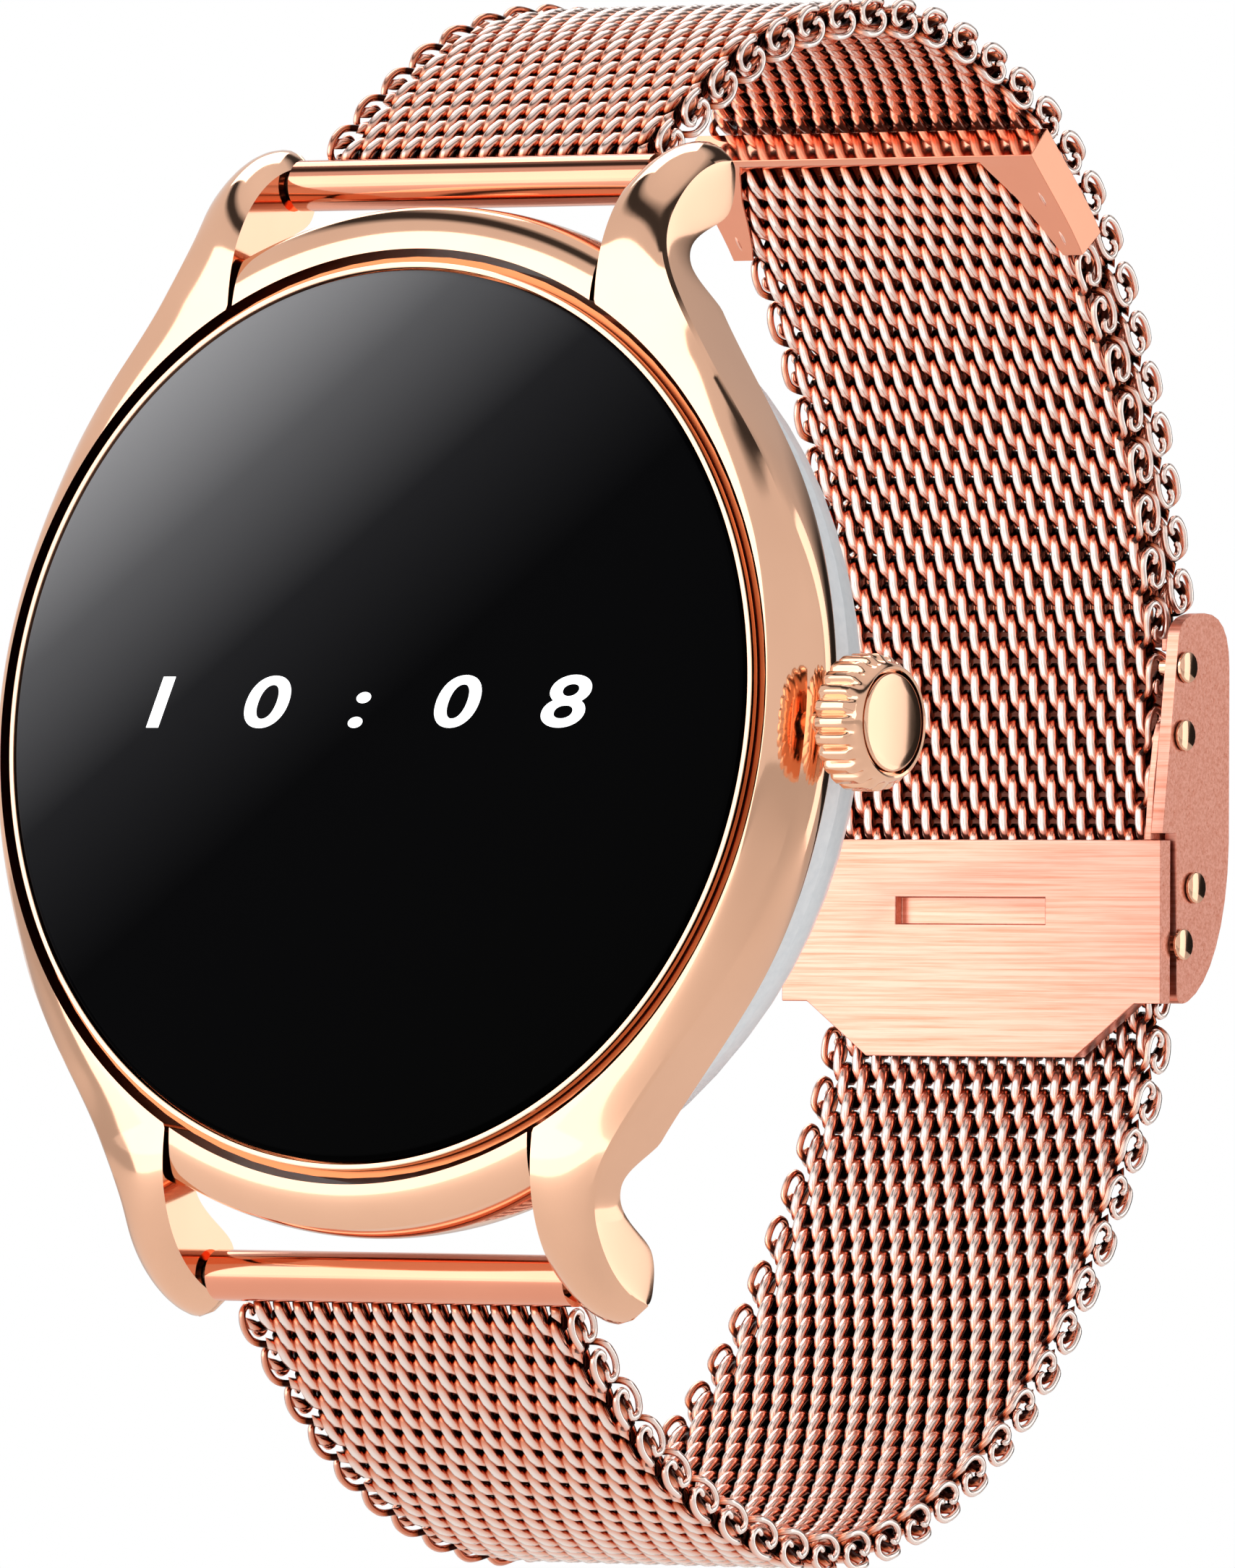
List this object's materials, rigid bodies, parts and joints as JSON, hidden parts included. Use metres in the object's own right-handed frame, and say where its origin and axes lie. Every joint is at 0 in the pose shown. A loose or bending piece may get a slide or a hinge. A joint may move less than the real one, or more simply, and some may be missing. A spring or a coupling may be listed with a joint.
{
  "type": "smartwatch",
  "caption": "Round smartwatch with flowing lugs, a turning push crown and a woven metal strap closed by a sliding fold-over clasp.",
  "frame": {"origin": "centre of the flat sensor face at the back of the head, where the watch rests on the wrist", "axes": "+Y out of the back of the head towards the wrist, so the dial looks along -Y; +Z towards twelve o'clock; +X towards the crown"},
  "size_m": [0.0464, 0.0504, 0.068],
  "materials": {
    "polished_rose_gold": "mirror-polished rose gold plating on steel",
    "brushed_rose_gold": "rose gold plated steel, brushed across the strap",
    "woven_rose_gold": "woven rose gold plated steel wire",
    "steel": "plain stainless steel, fine turned",
    "black_glass": "glossy black cover glass over a dark display",
    "sensor_glass": "glossy dark window",
    "white_shell": "glossy white moulded polymer",
    "panel": "display stack",
    "bracket": "stamped sheet",
    "board": "green circuit board",
    "cell": "foil pouch",
    "rubber": "moulded rubber",
    "dark_plastic": "moulded plastic",
    "contact": "gold flashed brass"
  },
  "bodies": {
    "head": {"side_rail_right": "polished_rose_gold", "side_rail_left": "polished_rose_gold", "bezel_arc_top": "polished_rose_gold", "bezel_arc_bottom": "polished_rose_gold", "glass_rim": "polished_rose_gold", "midframe": "bracket", "back_shell": "white_shell", "back_gasket": "rubber", "sensor_window": "sensor_glass", "sensor_board": "board", "back_screw_1": "steel", "back_screw_2": "steel", "back_screw_3": "steel", "back_screw_4": "steel", "charge_contact_1": "contact", "charge_contact_2": "contact", "cover_glass": "black_glass", "glass_gasket": "rubber", "display_panel": "panel", "display_bracket": "bracket", "main_board": "board", "battery": "cell", "vibration_motor": "steel", "speaker": "dark_plastic", "microphone": "steel", "side_switch": "dark_plastic", "crown_tube": "polished_rose_gold", "crown_seal": "rubber"},
    "push_rod": {"switch_plunger": "dark_plastic"},
    "crown": {"crown_ring": "polished_rose_gold", "crown_cap": "polished_rose_gold", "crown_stem": "steel", "stem_clip": "steel", "encoder_wheel": "contact"},
    "short_strap": {"top_end_tube": "woven_rose_gold", "top_spring_bar": "steel", "short_mesh": "woven_rose_gold", "hook_plate": "brushed_rose_gold"},
    "top_release": {"top_release_pin": "steel"},
    "long_strap": {"bottom_end_tube": "woven_rose_gold", "bottom_spring_bar": "steel", "long_mesh": "woven_rose_gold", "strap_cap": "woven_rose_gold", "clasp_frame": "brushed_rose_gold", "hook_stud_right": "polished_rose_gold", "lock_pivot_right": "polished_rose_gold", "cover_pivot_right": "polished_rose_gold", "frame_rivet_right": "polished_rose_gold", "hook_stud_left": "polished_rose_gold", "lock_pivot_left": "polished_rose_gold", "cover_pivot_left": "polished_rose_gold", "frame_rivet_left": "polished_rose_gold"},
    "bottom_release": {"bottom_release_pin": "steel"},
    "cover": {"clasp_cover": "brushed_rose_gold"},
    "lock": {"lock_plate": "brushed_rose_gold"}
  },
  "joints": [
    {"name": "crown_press", "type": "slide", "parent": "head", "child": "push_rod", "axis": [-1, 0, 0], "range_m": [0, 0.0004], "stiffness_N_per_m": 800, "springref_m": -0.0003},
    {"name": "crown_turn", "type": "hinge", "parent": "push_rod", "child": "crown", "pos_m": [0.0225, -0.0072, 0], "axis": [1, 0, 0], "continuous": true},
    {"name": "cover_swing", "type": "hinge", "parent": "long_strap", "child": "cover", "pos_m": [0, 0.03768, -0.00148], "axis": [-1, 0, 0], "range_deg": [0, 55]},
    {"name": "short_strap_swing", "type": "hinge", "parent": "head", "child": "short_strap", "pos_m": [0, -0.00533, 0.02356], "axis": [1, 0, 0], "range_deg": [0, 36]},
    {"name": "long_strap_swing", "type": "hinge", "parent": "head", "child": "long_strap", "pos_m": [0, -0.00533, -0.02356], "axis": [-1, 0, 0], "range_deg": [0, 17]},
    {"name": "lock_plate_swing", "type": "hinge", "parent": "long_strap", "child": "lock", "pos_m": [0, 0.03602, 0.00507], "axis": [-1, 0, 0], "range_deg": [0, 60]},
    {"name": "top_release_slide", "type": "slide", "parent": "short_strap", "child": "top_release", "axis": [-1, 0, 0], "range_m": [0, 0.0012], "stiffness_N_per_m": 300, "springref_m": -0.0004},
    {"name": "bottom_release_slide", "type": "slide", "parent": "long_strap", "child": "bottom_release", "axis": [-1, 0, 0], "range_m": [0, 0.0012], "stiffness_N_per_m": 300, "springref_m": -0.0004}
  ],
  "couplings": [
    {"joint": "short_strap_swing", "follows": "cover_swing", "ratio": 0.65},
    {"joint": "long_strap_swing", "follows": "cover_swing", "ratio": 0.3}
  ]
}
